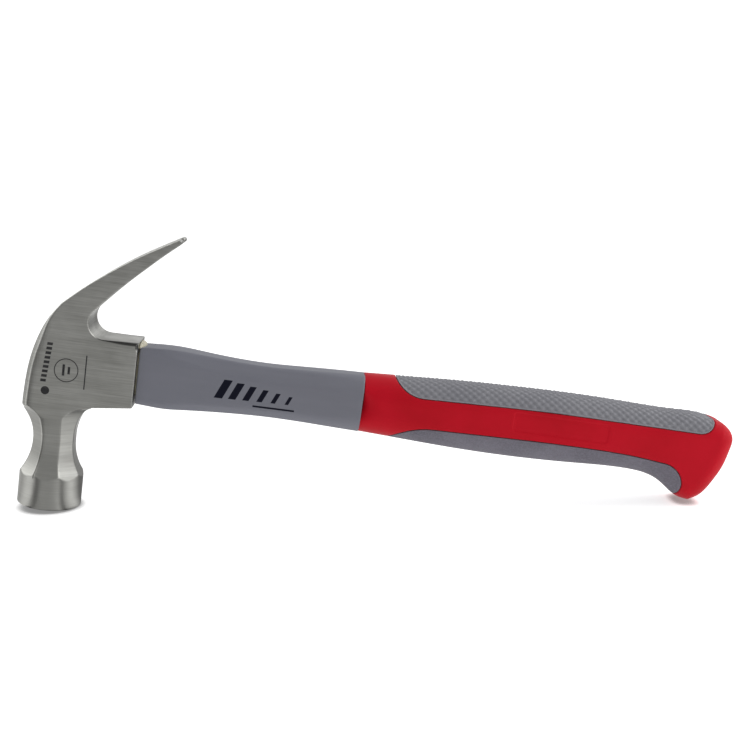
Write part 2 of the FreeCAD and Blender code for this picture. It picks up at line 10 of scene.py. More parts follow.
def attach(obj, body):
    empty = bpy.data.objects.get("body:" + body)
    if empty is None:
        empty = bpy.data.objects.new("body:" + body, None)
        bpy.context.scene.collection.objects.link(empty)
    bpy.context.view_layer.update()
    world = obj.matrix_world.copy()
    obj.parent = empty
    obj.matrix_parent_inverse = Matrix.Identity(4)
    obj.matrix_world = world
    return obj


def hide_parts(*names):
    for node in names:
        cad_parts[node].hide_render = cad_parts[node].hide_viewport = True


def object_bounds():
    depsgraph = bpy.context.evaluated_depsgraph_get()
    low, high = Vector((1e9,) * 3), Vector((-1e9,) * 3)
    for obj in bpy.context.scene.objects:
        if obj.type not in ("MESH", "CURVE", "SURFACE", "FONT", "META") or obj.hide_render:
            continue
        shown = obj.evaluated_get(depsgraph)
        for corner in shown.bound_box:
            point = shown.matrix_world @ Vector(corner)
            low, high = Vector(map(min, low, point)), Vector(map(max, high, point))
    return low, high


# Claw hammer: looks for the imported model.
#
# Each visible piece is drawn as a signed distance field in the hammer's own square frame, in mm,
# and turned into a mesh. In that frame the origin is the centre of the striking face, +Z runs up
# the head and +X runs along the handle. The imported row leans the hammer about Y, by the angle that
# the striking face's own axis shows, so every mesh is leaned by the same angle.

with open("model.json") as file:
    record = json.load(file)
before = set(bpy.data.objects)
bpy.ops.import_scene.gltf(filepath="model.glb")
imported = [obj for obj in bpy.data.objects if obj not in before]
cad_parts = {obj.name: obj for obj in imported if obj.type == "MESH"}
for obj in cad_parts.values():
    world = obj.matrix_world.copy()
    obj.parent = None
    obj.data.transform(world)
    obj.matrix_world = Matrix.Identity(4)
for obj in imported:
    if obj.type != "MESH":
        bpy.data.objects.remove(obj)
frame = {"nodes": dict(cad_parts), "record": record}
cad_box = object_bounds()

MM = 0.001
FACE = next(mount for mount in frame["record"]["mounts"] if mount["name"] == "striking_face")
LEAN = math.atan2(-FACE["axis"][0], -FACE["axis"][2])
COARSE = 1.0    # voxel size factor
FAR = 1e9                              # more than any squared distance


# ---------------------------------------------------------------- distance fields

def smooth_curve(points, step=0.5):
    """Points along a natural cubic spline through a few (x, z) points, about a step apart."""
    nodes = np.array(points, float)
    count = len(nodes)
    chord = np.concatenate(([0.0], np.cumsum(np.hypot(*np.diff(nodes, axis=0).T))))
    gap = np.diff(chord)
    matrix = np.eye(count)
    right = np.zeros((count, 2))
    slope = np.diff(nodes, axis=0) / gap[:, None]
    for i in range(1, count - 1):
        matrix[i, i - 1:i + 2] = gap[i - 1], 2 * (gap[i - 1] + gap[i]), gap[i]
        right[i] = 6 * (slope[i] - slope[i - 1])
    bend = np.linalg.solve(matrix, right)
    at = np.linspace(0, chord[-1], max(2, int(chord[-1] / step)))
    i = np.clip(np.searchsorted(chord, at, side="right") - 1, 0, count - 2)
    a = ((chord[i + 1] - at) / gap[i])[:, None]
    b = 1 - a
    h = gap[i][:, None] ** 2 / 6
    curve = a * nodes[i] + b * nodes[i + 1]
    curve += h * ((a ** 3 - a) * bend[i] + (b ** 3 - b) * bend[i + 1])
    return [tuple(point) for point in curve]


def arc(centre, radius, start, end, steps=16):
    """Points along a circular arc, by its two angles in degrees."""
    angles = np.radians(np.linspace(start, end, steps))
    return [(centre[0] + radius * math.cos(t), centre[1] + radius * math.sin(t)) for t in angles]


class Grid:
    """A block of voxels in mm. Only y >= 0 is computed: every piece is its own mirror image.

    x, y and z each lie along their own axis, so they spread against each other in a field.
    """

    def __init__(self, low, high, voxel):
        self.voxel = voxel * COARSE
        self.low = low
        x, z = (np.arange(low[i], high[i], self.voxel, dtype=np.float32) for i in (0, 2))
        y = np.arange(0, high[1], self.voxel, dtype=np.float32)
        self.x = x[:, None, None]
        self.y = y[None, :, None]
        self.z = z[None, None, :]


def outline_distance(x, z, outline):
    """Signed distance in side view to a closed outline, negative inside."""
    shape = np.broadcast(x, z).shape
    nearest = np.full(shape, FAR, np.float32)
    inside = np.zeros(shape, bool)
    for (x0, z0), (x1, z1) in zip(outline, outline[1:] + outline[:1]):
        ex, ez = x1 - x0, z1 - z0
        length = ex * ex + ez * ez
        if length < 1e-10:
            continue
        t = np.clip(((x - x0) * ex + (z - z0) * ez) / length, 0, 1)
        nearest = np.minimum(nearest, (x - x0 - t * ex) ** 2 + (z - z0 - t * ez) ** 2)
        if z0 != z1:
            inside ^= ((z0 <= z) != (z1 <= z)) & (x < x0 + (z - z0) / (z1 - z0) * ex)
    distance = np.sqrt(nearest)
    return np.where(inside, -distance, distance).astype(np.float32)


SOFTEN_POWER = 7.0
SOFTEN_FROM, SOFTEN_TO = 1.0, 2.5    # depths between which the stand-in takes over


def soften(distance, x, z, outline):
    """Takes the creases out of the deep inside of an outline's distance field.

    Deep inside it blends to a smooth stand-in for the distance: the inverse power mean of the
    distances to every point of the outline, scaled so that a straight edge gives its own distance.
    """
    points = np.array(outline, np.float32)
    after = np.roll(points, -1, axis=0)
    middles = (points + after) / 2
    lengths = np.hypot(*(after - points).T)
    total = np.zeros(distance.shape, np.float32)
    for (mx, mz), length in zip(middles, lengths):
        total += length * ((x - mx) ** 2 + (z - mz) ** 2) ** (-SOFTEN_POWER / 2)
    scale = math.sqrt(math.pi) * math.gamma((SOFTEN_POWER - 1) / 2) / math.gamma(SOFTEN_POWER / 2)
    smooth = -(total / scale) ** (-1 / (SOFTEN_POWER - 1))
    share = ramp(-distance, SOFTEN_FROM, SOFTEN_TO)
    return distance * (1 - share) + smooth * share


def ramp(value, start, end):
    """0 before start, 1 after end, and smooth between."""
    t = np.clip((value - start) / (end - start), 0, 1)
    return t * t * (3 - 2 * t)


def both(a, b, blend):
    """The part common to two fields, with its edge rounded over about the blend."""
    h = np.maximum(blend - np.abs(a - b), 0) / blend
    return np.maximum(a, b) + h * h * blend / 4


def either(a, b, blend):
    """Two fields joined, with the inner corner filled over about the blend."""
    return -both(-a, -b, blend)


def rounded(a, b, radius):
    """The part common to two fields, with its edge rounded to a true radius."""
    a = a + radius
    b = b + radius
    return np.minimum(np.maximum(a, b), 0) + np.hypot(np.maximum(a, 0), np.maximum(b, 0)) - radius


def along(x, stations):
    """A size that changes smoothly along the handle, from (x, size) pairs."""
    curve = np.array(smooth_curve(stations, 1.0))
    return np.interp(x, curve[:, 0], curve[:, 1]).astype(np.float32)


def to_row(points):
    """Points in mm in the hammer's square frame, moved to the row's leaned frame in metres."""
    turned = np.array(points, float)
    c, s = math.cos(LEAN), math.sin(LEAN)
    x, z = turned[:, 0].copy(), turned[:, 2].copy()
    turned[:, 0] = x * c + z * s
    turned[:, 2] = z * c - x * s
    return turned * MM + np.array(FACE["pos_m"])


BAND = 3     # voxels kept on each side of a surface


def slanted(flat, edge, degrees):
    """A plane that meets the flat at the edge and leans away from it by an angle."""
    tilt = math.radians(degrees)
    return flat * math.cos(tilt) + edge * math.sin(tilt)


def build(name, grid, field, node, triangles, material):
    """Meshes a field's surface as the piece that stands for a CAD node."""
    field = np.broadcast_to(field, np.broadcast(grid.x, grid.y, grid.z).shape)
    whole = np.concatenate((field[:, :0:-1], field), axis=1)
    limit = BAND * grid.voxel
    volume = openvdb.FloatGrid(limit)
    volume.copyFromArray(np.clip(whole, -limit, limit).astype(np.float32), tolerance=0.0)
    points, quads = volume.convertToQuads(0.0)
    corner = (grid.low[0], -(field.shape[1] - 1) * grid.voxel, grid.low[2])
    points = to_row(points * grid.voxel + np.array(corner))
    mesh = bpy.data.meshes.new(name)
    mesh.from_pydata(points.tolist(), [], quads.tolist())
    mesh.validate()
    piece = bpy.data.objects.new(name, mesh)
    bpy.context.scene.collection.objects.link(piece)
    share = triangles / (2 * len(quads))
    if share < 1:
        reduce = piece.modifiers.new("reduce", "DECIMATE")
        reduce.ratio = share
        bpy.context.view_layer.update()
        evaluated = piece.evaluated_get(bpy.context.evaluated_depsgraph_get())
        piece.data = bpy.data.meshes.new_from_object(evaluated)
        piece.modifiers.clear()
        bpy.data.meshes.remove(mesh)
        piece.data.name = name
    piece.data.shade_smooth()
    piece.data.materials.clear()
    piece.data.materials.append(material)
    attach(piece, "root")
    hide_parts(node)


# ---------------------------------------------------------------- head

CROWN = ((0.0, 95.6), (-4.5, 89.5), (-8.9, 80.8), (-11.9, 70.9), (-13.5, 60.0), (-14.1, 50.0))
BELL_RADIUS = 14.4
CHEEK = 12.0            # half the head's thickness
CLAW_THINNING = 0.8     # how much that drops to the claw's tip
EYE_Z = 66.3
CHAMFER = 2.45          # the crown's chamfer at its foot
ROLL_TILT = 11          # the shallow slope beside the chamfer, in degrees
ROLL_WIDTH = 1.7        # its width as a share of the chamfer
BELL_CHAMFER = 0.45
BELL_TOP = 36.0         # up to here the bell is cut by the neck's facets, above it the cheeks are
CHEEK_FOOT = 49.5       # from here up the cheeks are whole
SLOT_START = 19.0       # the nail slot's round end,
SLOT_FLOOR = 86.5       # the lowest point it may reach,
SLOT_HALF = 0.9         # half its width there
SLOT_SPREAD = 0.1       # and how fast that widens towards the claw's tip
EYE_FRONT, EYE_BACK = -16.0, 36.0
RESIN_END = 34.9
NECK_RADIUS = 9.15
NECK_LOW, NECK_LOW_Z = 26.5, 30.2    # hollow radius down to the bell, and where it starts
NECK_HIGH, NECK_HIGH_Z = 23.0, 31.8  # hollow radius up to the cheeks, and where it starts
# Facets of the neck: degrees from +X, spread against the neck's radius, and cut in mm. The two
# thin ones break the edges of the front facet.
NECK_FACETS = ((0, 1, 0), (45, 1, 0), (79, 1.0607, 0.16), (90, 1, 0), (101, 1.0607, 0.16),
               (135, 1, 0), (180, 1, 0))


def head_outline():
    """Side view of the cheeks and claw, with a foot for the neck below."""
    under = smooth_curve(((14.8, 94.4), (24.0, 104.3), (33.6, 113.7), (43.8, 123.2),
                          (48.95, 127.65)))
    back = smooth_curve(((47.6, 129.4), (42.5, 126.5), (29.8, 118.9), (14.6, 108.1), (6.7, 101.7),
                         (0.0, 95.6)))
    outline = smooth_curve(CROWN)
    outline += [(-14.1, 35.0), (16.5, 35.0), (16.5, 49.5), (34.85, 51.6), (34.85, 81.3)]
    outline += arc((19.6, 88.6), 7.5, 270, 130)
    outline += under[1:]
    outline += arc((48.2, 128.45), 1.1, -47, 121)
    outline += back[1:-1]
    return outline


def neck_facets(grid):
    """The octagonal neck: hollow planes that flare down into the bell and up into the cheeks."""
    z = grid.z
    field = None
    for degrees, spread, cut in NECK_FACETS:
        angle = math.radians(degrees)
        high_z = NECK_HIGH_Z + 1.4 * math.cos(angle)
        low = np.sqrt(np.maximum(NECK_LOW ** 2 - np.minimum(z - NECK_LOW_Z, 0) ** 2, 1.0))
        high = np.sqrt(np.maximum(NECK_HIGH ** 2 - np.maximum(z - high_z, 0) ** 2, 1.0))
        reach = spread * (NECK_RADIUS + NECK_LOW - low + NECK_HIGH - high) - cut
        slope = np.minimum(low / NECK_LOW, high / NECK_HIGH)
        plane = (grid.x * math.cos(angle) + grid.y * math.sin(angle) - reach) * slope
        field = plane if field is None else both(field, plane, 0.28)
    return field


def eye(grid, inset=0.0):
    """The tapered eye through the head, or the resin that fills it."""
    share = (grid.x - EYE_FRONT) / (EYE_BACK - EYE_FRONT)
    wide = grid.y - (8.3 - 0.8 * share - inset)
    tall = np.abs(grid.z - EYE_Z) - (11.5 - 1.0 * share - inset)
    return rounded(wide, tall, 5.0 - inset)


def head_field(grid):
    """The whole head: cheeks and claw, neck and bell, with the nail slot and the eye cut out."""
    x, y, z = grid.x, grid.y, grid.z
    outline = outline_distance(x, z, head_outline())
    half = CHEEK - CLAW_THINNING * np.clip(x / 49.3, 0, 1) * ramp(z, 84, 92)
    throat_edge = ramp(x, 15, 32) * ramp(z, 76, 79.5) * (1 - ramp(z, 84, 90))
    block = rounded(outline, y - half, 0.4 - 0.2 * ramp(x, 26, 33) + 1.6 * throat_edge)
    chamfer = CHAMFER * (1 - ramp(z, 74, 96)) * (1 - ramp(x, 4, 7))
    block = both(block, slanted(y - half, outline + chamfer, 45), 0.35)
    block = both(block, slanted(y - half, outline + ROLL_WIDTH * chamfer, ROLL_TILT), 0.3)
    facets = neck_facets(grid)
    block = both(block, either(facets, CHEEK_FOOT - z + 0 * y, 5.0), 0.5)
    across = np.hypot(x, y)
    bell = rounded(across - BELL_RADIUS, -z + 0 * across, 0.25)
    bell = both(bell, slanted(across - BELL_RADIUS, BELL_CHAMFER - z, 45), 0.2)
    bell = both(bell, facets, 0.35)
    field = np.minimum(block, np.maximum(bell, z - BELL_TOP))
    past = x - SLOT_START
    slot = np.where(past > 0, y - SLOT_HALF - SLOT_SPREAD * past, np.hypot(past, y) - SLOT_HALF)
    slot = np.maximum(slot, SLOT_FLOOR - z)
    field = both(field, -slot, 0.9)
    return both(field, -eye(grid), 0.5)


# ---------------------------------------------------------------- handle

JACKET_TOP = ((35.0, 79.0), (52.0, 79.6), (66.0, 78.6), (80.0, 77.6), (94.0, 77.2), (108.0, 77.6),
              (122.0, 78.2), (138.0, 78.7))
JACKET_LOW = ((35.0, 52.8), (42.0, 52.3), (49.0, 51.9), (56.0, 52.2), (69.0, 53.0), (83.0, 53.6),
              (97.0, 53.8), (111.0, 53.4), (125.0, 52.7), (138.0, 52.1))
GRIP_TOP = ((134.0, 79.0), (164.0, 80.2), (185.0, 81.0), (206.0, 81.4), (235.0, 81.6),
            (264.0, 80.9), (285.0, 80.2), (300.0, 79.5), (307.1, 77.8))
GRIP_END = ((307.1, 77.8), (310.7, 75.2), (312.9, 71.2), (312.6, 66.5), (310.3, 57.0),
            (306.8, 49.4), (301.5, 41.9), (297.0, 39.1))
GRIP_LOW = ((297.0, 39.1), (292.3, 39.9), (287.2, 42.9), (281.8, 46.5), (275.0, 48.9),
            (266.0, 49.9), (240.0, 49.6), (211.0, 49.1), (182.0, 49.7), (153.0, 51.1),
            (134.0, 52.0))
JACKET_X = 35.6      # where the jacket starts, at the resin's collar
COLLAR_X = 137.0     # where the red collar starts
WALL = 3.0           # thickness of the grip over the jacket's tang
GAP = 0.1            # clearance between touching pieces
END_BAND = 5.2       # width of the slanted band round the butt
END_TILT = 34


def core_hole(grid):
    """The rod's space through the resin and the jacket."""
    section = rounded(grid.y - 6.0 - GAP, np.abs(grid.z - EYE_Z) - 8.8 - GAP, 4.5)
    return np.maximum(section, grid.x - 282.0 - GAP)


def grip_form(grid):
    """The whole grip as one solid, from inside the collar to the rounded butt."""
    x, z = grid.x, grid.z
    outline = smooth_curve(GRIP_TOP) + smooth_curve(GRIP_END)[1:-1] + smooth_curve(GRIP_LOW)
    side = outline_distance(x, z, outline)
    side = soften(side, x, z, outline)
    half = along(x, ((134, 11.4), (150, 12.2), (170, 13.0), (205, 13.5), (245, 13.5), (268, 13.3),
                     (290, 13.4), (320, 13.6)))
    corner = along(x, ((134, 11.4), (180, 11.4), (240, 11.4), (280, 11.0), (296, 9.2), (306, 8.0),
                       (320, 8.0)))
    solid = rounded(side, grid.y - half, corner)
    before_butt = 1 - ramp(butt_plane(grid), -3, 3)
    bevel = slanted(grid.y - half, side + END_BAND - 8.0 * before_butt, END_TILT)
    return both(solid, bevel, 0.9)


def jacket_field(grid, form):
    """The jacket: bare up to the collar, with slanted bands beside its flats, and a tang inside
    the grip."""
    x, z = grid.x, grid.z
    top = along(x, JACKET_TOP)
    low = along(x, JACKET_LOW)
    half = along(x, ((35, 8.8), (52, 9.0), (73, 9.0), (94, 9.1), (115, 9.7), (127, 10.5),
                     (138, 11.4)))
    corner = along(x, ((35, 3.0), (46, 3.2), (60, 3.8), (80, 4.4), (104, 5.0), (122, 6.6),
                       (138, 8.6)))
    tall = np.abs(z - (top + low) / 2) - (top - low) / 2
    bare = rounded(grid.y - half, tall, corner)
    upper_edge = along(x, ((35, 78.6), (46, 77.6), (58, 74.6), (73, 71.8), (90, 71.0),
                           (110, 71.4), (138, 73.2)))
    lower_edge = along(x, ((35, 53.4), (46, 54.4), (58, 56.2), (73, 57.0), (90, 57.3),
                           (110, 57.0), (138, 55.6)))
    bare = both(bare, slanted(grid.y - half, z - upper_edge, 30), 0.8)
    bare = both(bare, slanted(grid.y - half, lower_edge - z, 36), 0.8)
    bare = np.maximum(bare, np.maximum(JACKET_X - x, x - COLLAR_X - 1))
    tang = np.maximum(form + WALL + GAP, COLLAR_X - x)
    tang = np.maximum(tang, butt_plane(grid))
    return np.maximum(np.minimum(bare, tang), -core_hole(grid))


def butt_plane(grid):
    """The slanted end of the jacket's tang inside the grip."""
    slant = math.atan2(13.5, 41.5)
    return (grid.x - 299.75) * math.cos(slant) - (grid.z - 59.35) * math.sin(slant)


def upper_window():
    """Side view of the opening in the sleeve for the upper pad."""
    outline = [(149.3, 99.0)] + arc((165.3, 88.6), 16.0, 180, 270)
    outline += smooth_curve(((165.3, 72.6), (198.0, 73.4), (230.4, 73.7), (262.0, 73.1),
                             (294.8, 72.6)))
    outline += arc((294.8, 80.6), 8.0, 270, 360) + [(302.8, 99.0)]
    return outline


def lower_window():
    """Side view of the opening in the sleeve for the lower pad."""
    outline = [(147.0, 20.0)] + arc((172.0, 28.1), 30.8, 145, 90)
    outline += smooth_curve(((172.0, 58.9), (214.0, 59.5), (247.0, 59.2), (266.0, 58.2),
                             (279.8, 56.7)))
    outline += arc((279.8, 45.4), 11.3, 90, -60) + [(285.4, 20.0)]
    return outline


def grip_shell(grid, form):
    """The grip's outer layer over the tang, with a solid butt."""
    cavity = np.maximum(form + WALL, butt_plane(grid) - GAP)
    return np.maximum(form, -cavity)


WINDOW_GAP = 0.2     # the groove's share cut from the sleeve
RIM = 0.28           # rounding of both rims of the grooves
PLATE_DEPTH = 0.3
SCALE_DEPTH = 0.62
SCALE_LONG, SCALE_ROUND = 4.0, 3.6    # the scales' pitch along the grip and round it


def sleeve_field(grid, form):
    """The red sleeve, with its bowed collar, a shallow plain plate and the two pads' windows."""
    x, z = grid.x, grid.z
    collar = COLLAR_X + 0.3 + 1.0 * (1 - ((z - 68.5) / 12.5) ** 2)
    field = rounded(grip_shell(grid, form), collar - x + 0 * grid.y, 0.35)
    plate = rounded(np.abs(x - 230.0) - 22.5, np.abs(z - 67.4 + 0.012 * (x - 230)) - 4.6, 1.6)
    plate = PLATE_DEPTH * (1 - ramp(plate, -0.4, 0.1))
    field = field + plate * ramp(grid.y, 6, 8)
    for window in (upper_window(), lower_window()):
        opening = outline_distance(x, z, window) - WINDOW_GAP
        field = rounded(field, -opening + 0 * grid.y, RIM)
    return field


def scales(grid):
    """Depth of the hollows between the upper pad's scales, in rows along the grip's section."""
    radius = 11.4
    wide = grid.y - (13.4 - radius)
    tall = grid.z - (along(grid.x, GRIP_TOP) - radius)
    turn = np.arctan2(np.maximum(tall, 1e-3), np.maximum(wide, 1e-3)) * radius
    over = np.where(wide <= 0, radius * math.pi / 2 - wide, turn)
    up_and_over = np.where(tall <= 0, tall + 0 * wide, over)
    rows = np.cos(2 * math.pi * grid.x / SCALE_LONG)
    lines = np.cos(2 * math.pi * up_and_over / SCALE_ROUND)
    return SCALE_DEPTH * (1 + rows * lines) / 2


def pad_field(grid, form, window, textured):
    """A pad that fills its window, with scales if it is textured."""
    opening = outline_distance(grid.x, grid.z, window)
    shell = grip_shell(grid, form)
    if textured:
        shell = np.maximum(form + scales(grid) * ramp(-opening, 0.4, 1.0), shell)
    return rounded(shell, opening + GAP + 0 * grid.y, RIM)


def resin_field(grid):
    """The resin in the eye, flush at the crown, with a thin collar and a bead by the jacket."""
    x, y, z = grid.x, grid.y, grid.z
    crown = outline_distance(x, z, head_outline())
    filling = np.maximum(eye(grid, GAP), np.where(x < 15, crown + 0.4, x - RESIN_END))
    collar = rounded(y - 6.6, np.abs(z - EYE_Z - 0.8) - 11.2, 4.3)
    collar = np.maximum(collar, np.abs(x - 35.15) - 0.3)
    bead = np.sqrt(((x - 35.0) / 2.5) ** 2 + (y / 7.2) ** 2 + ((z - 79.0) / 2.0) ** 2) - 1
    bead = np.maximum(bead * 1.9, np.maximum(RESIN_END - x, 77.6 - z))
    field = either(np.minimum(filling, collar), bead, 0.4)
    return np.maximum(field, -core_hole(grid))


# ---------------------------------------------------------------- materials

class Nodes:
    """Short ways to add nodes to a tree and join them."""

    def __init__(self, owner):
        owner.use_nodes = True
        self.tree = owner.node_tree
        self.tree.nodes.clear()

    def add(self, kind, **values):
        """A node with its settings, and its inputs given as numbers or as other nodes' outputs."""
        node = self.tree.nodes.new(kind)
        for key, value in values.items():
            if hasattr(node, key) and key not in node.inputs:
                setattr(node, key, value)
        for key, value in values.items():
            if key in node.inputs:
                self.join(value, node.inputs[key])
        return node

    def join(self, value, socket):
        if isinstance(value, bpy.types.Node):
            value = value.outputs[0]
        if isinstance(value, bpy.types.NodeSocket):
            self.tree.links.new(value, socket)
        elif isinstance(value, tuple) and len(value) == 3 and socket.type == "RGBA":
            socket.default_value = (*value, 1.0)
        else:
            socket.default_value = value

    def math(self, operation, a, b=0.0, c=0.0):
        node = self.add("ShaderNodeMath", operation=operation)
        for value, socket in zip((a, b, c), node.inputs):
            self.join(value, socket)
        return node.outputs[0]

    def product(self, *values):
        total = values[0]
        for value in values[1:]:
            total = self.math("MULTIPLY", total, value)
        return total

    def ramp(self, value, low, high, to_low=0.0, to_high=1.0, kind="LINEAR"):
        """Maps a value from one range to another, clamped."""
        node = self.add("ShaderNodeMapRange", clamp=True, interpolation_type=kind)
        for name, number in (("Value", value), ("From Min", low), ("From Max", high),
                             ("To Min", to_low), ("To Max", to_high)):
            self.join(number, node.inputs[name])
        return node.outputs[0]

    def blend(self, share, a, b):
        """A colour between two others."""
        node = self.add("ShaderNodeMix", data_type="RGBA")
        self.join(share, node.inputs["Factor"])
        self.join(a, node.inputs[6])
        self.join(b, node.inputs[7])
        return node.outputs[2]

    def show(self, share, a, b, output="ShaderNodeOutputMaterial"):
        """Ends the tree with a shader between two others."""
        choose = self.add("ShaderNodeMixShader")
        for value, socket in zip((share, a, b), choose.inputs):
            self.join(value, socket)
        self.add(output, Surface=choose)


class Shader(Nodes):
    """A node material, drawn in the hammer's square frame in mm."""

    def __init__(self, name):
        self.material = bpy.data.materials.new(name)
        super().__init__(self.material)
        coordinates = self.add("ShaderNodeTexCoord")
        turn = self.add("ShaderNodeVectorRotate", rotation_type="Y_AXIS",
                        Vector=coordinates.outputs["Object"], Angle=-LEAN)
        scaled = self.add("ShaderNodeVectorMath", operation="SCALE", Vector=turn, Scale=1 / MM)
        self.place = scaled.outputs["Vector"]
        split = self.add("ShaderNodeSeparateXYZ", Vector=self.place)
        self.x, self.y, self.z = split.outputs

    def noise(self, scale, detail, roughness, stretch=(1, 1, 1)):
        """Noise at a scale per mm, stretched along the axes."""
        place = self.add("ShaderNodeVectorMath", operation="MULTIPLY")
        self.join(self.place, place.inputs[0])
        self.join(tuple(scale * s for s in stretch), place.inputs[1])
        noise = self.add("ShaderNodeTexNoise", Vector=place, Scale=1.0, Detail=detail,
                         Roughness=roughness)
        return noise.outputs[0]

    def bump(self, height, strength, distance):
        """Bump of a height in 0..1, over a distance in mm."""
        node = self.add("ShaderNodeBump", Height=height, Strength=strength, Distance=distance * MM)
        return node.outputs[0]

    def pointiness(self):
        """Over 0.5 on outer edges and under it in hollows."""
        return self.add("ShaderNodeNewGeometry").outputs["Pointiness"]

    def finish(self, **values):
        """The surface shader and the output."""
        surface = self.add("ShaderNodeBsdfPrincipled")
        for key, value in values.items():
            self.join(value, surface.inputs[key.replace("_", " ")])
        self.add("ShaderNodeOutputMaterial", Surface=surface)
        return self.material

    def inside(self, distance, soft=0.06):
        """1 where a distance is below zero, with a soft edge."""
        return self.ramp(distance, -soft, soft, 1.0, 0.0)

    def box(self, x, z, half_x, half_z, lean=0.0):
        """Distance outside a box in side view; lean slides it along x as it rises."""
        dz = self.math("SUBTRACT", self.z, z)
        dx = self.math("SUBTRACT", self.x, x)
        if lean:
            dx = self.math("SUBTRACT", dx, self.math("MULTIPLY", dz, lean))
        out_x = self.math("SUBTRACT", self.math("ABSOLUTE", dx), half_x)
        out_z = self.math("SUBTRACT", self.math("ABSOLUTE", dz), half_z)
        return self.math("MAXIMUM", out_x, out_z)

    def disc(self, x, z, radius):
        """Distance outside a circle in side view."""
        dx = self.math("SUBTRACT", self.x, x)
        dz = self.math("SUBTRACT", self.z, z)
        squares = self.math("ADD", self.math("POWER", dx, 2.0), self.math("POWER", dz, 2.0))
        return self.math("SUBTRACT", self.math("SQRT", squares), radius)

    def ring(self, x, z, radius, half):
        """Distance outside a ring's line."""
        line = self.math("ABSOLUTE", self.disc(x, z, radius))
        return self.math("SUBTRACT", line, half)

    def union(self, *distances):
        total = distances[0]
        for distance in distances[1:]:
            total = self.math("MINIMUM", total, distance)
        return total

    def near_side(self, depth):
        """1 on the side that faces -Y, past a depth in mm."""
        return self.math("LESS_THAN", self.y, -depth)


def steel_marks(s):
    """Where plain printed marks lie on the near cheek: a ring with two strokes, a dashed bar, a dot
    and a thin line."""
    ring = s.ring(4.5, 65.5, 5.2, 0.22)
    strokes = s.union(s.box(3.3, 65.5, 0.55, 2.6), s.box(5.7, 65.5, 0.55, 1.7))
    gaps = s.math("SUBTRACT", 0.40, s.math("PINGPONG", s.z, 1.05))
    dashes = s.math("MAXIMUM", s.box(-4.4, 68.0, 1.25, 9.4, 0.1), gaps)
    dot = s.disc(-4.0, 55.3, 1.9)
    line = s.box(13.0, 65.5, 0.28, 7.8)
    return s.product(s.inside(s.union(ring, strokes, dashes, dot, line)), s.near_side(9.0))


def painted_neck_edge_shade(s):
    """Where a dark line of painted shade lies along the edge between the neck's front and left
    facets, down to the bell.
    """
    aside = s.math("ABSOLUTE", s.math("MULTIPLY_ADD", s.math("ABSOLUTE", s.y), 0.43, s.x))
    return s.product(s.ramp(aside, 0.20, 0.45, 1.0, 0.0), s.near_side(7.0),
                     s.ramp(s.z, 34.0, 24.0), s.ramp(s.z, 13.8, 14.6))


def throat_dark_wedge(s):
    """Where a dark wedge is painted along the near edge of the throat's floor."""
    depth = s.math("ABSOLUTE", s.y)
    inner = s.math("SUBTRACT", depth, s.ramp(s.x, 15.0, 34.0, 11.6, 8.6))
    return s.product(s.ramp(inner, -0.25, 0.25), s.ramp(depth, 11.75, 11.95, 1.0, 0.0),
                     s.ramp(s.x, 15.0, 17.5), s.ramp(s.x, 34.75, 34.8, 1.0, 0.0),
                     s.ramp(s.z, 78.0, 79.0), s.ramp(s.z, 84.0, 85.0, 1.0, 0.0))


def steel():
    """Brushed steel, with streaks that fade on the turned bell, marks, a painted shade line on the
    neck and a dark wedge painted on the throat.
    """
    s = Shader("brushed_steel")
    fine = s.noise(2.8, 3, 0.65, (0.022, 0.022, 1.0))
    broad = s.noise(0.7, 2, 0.5, (0.05, 0.05, 1.0))
    cloud = s.math("SUBTRACT", s.noise(0.06, 3, 0.55), 0.5)
    streak = s.math("ADD", s.math("MULTIPLY", fine, 0.65), s.math("MULTIPLY", broad, 0.35))
    tone = s.ramp(s.math("ADD", streak, s.math("MULTIPLY", cloud, 0.5)), 0.34, 0.66)
    flat = s.ramp(s.z, 42.0, 54.0, 0.45, 1.0)
    tone = s.math("ADD", s.math("MULTIPLY", s.math("SUBTRACT", tone, 0.5), flat), 0.5)
    ink = s.product(steel_marks(s), s.ramp(fine, 0.2, 0.6, 0.85, 1.0))
    colour = s.blend(tone, (0.40, 0.40, 0.374), (0.585, 0.585, 0.555))
    colour = s.blend(ink, colour, (0.008, 0.008, 0.011))
    worn = s.ramp(s.pointiness(), 0.52, 0.60, 0.0, 0.15)
    colour = s.blend(worn, colour, (0.62, 0.62, 0.60))
    # Painted shade: a dark line along the edge between the neck's front and left facets.
    colour = s.blend(s.math("MULTIPLY", painted_neck_edge_shade(s), 0.8), colour, (0.06, 0.06, 0.055))
    # A dark wedge painted along the near edge of the throat's floor.
    colour = s.blend(s.math("MULTIPLY", throat_dark_wedge(s), 0.85), colour, (0.035, 0.035, 0.035))
    rough = s.ramp(streak, 0.3, 0.7, 0.40, 0.28)
    rough = s.math("ADD", rough, s.math("MULTIPLY", ink, 0.25))
    tangent = s.add("ShaderNodeTangent", direction_type="RADIAL", axis="Z")
    return s.finish(Base_Color=colour, Metallic=s.ramp(ink, 0.0, 1.0, 1.0, 0.1), Roughness=rough,
                    Anisotropic=0.5, Anisotropic_Rotation=0.25, Tangent=tangent,
                    Normal=s.bump(s.math("MULTIPLY", streak, flat), 0.30, 0.03))


def resin():
    s = Shader("cast_resin")
    cloud = s.noise(0.35, 3, 0.6)
    colour = s.blend(cloud, (0.50, 0.46, 0.33), (0.72, 0.69, 0.56))
    return s.finish(Base_Color=colour, Roughness=s.ramp(cloud, 0.3, 0.7, 0.3, 0.5),
                    Subsurface_Weight=0.15, Subsurface_Radius=(0.002, 0.0015, 0.001),
                    Normal=s.bump(s.noise(1.4, 3, 0.6), 0.4, 0.12))


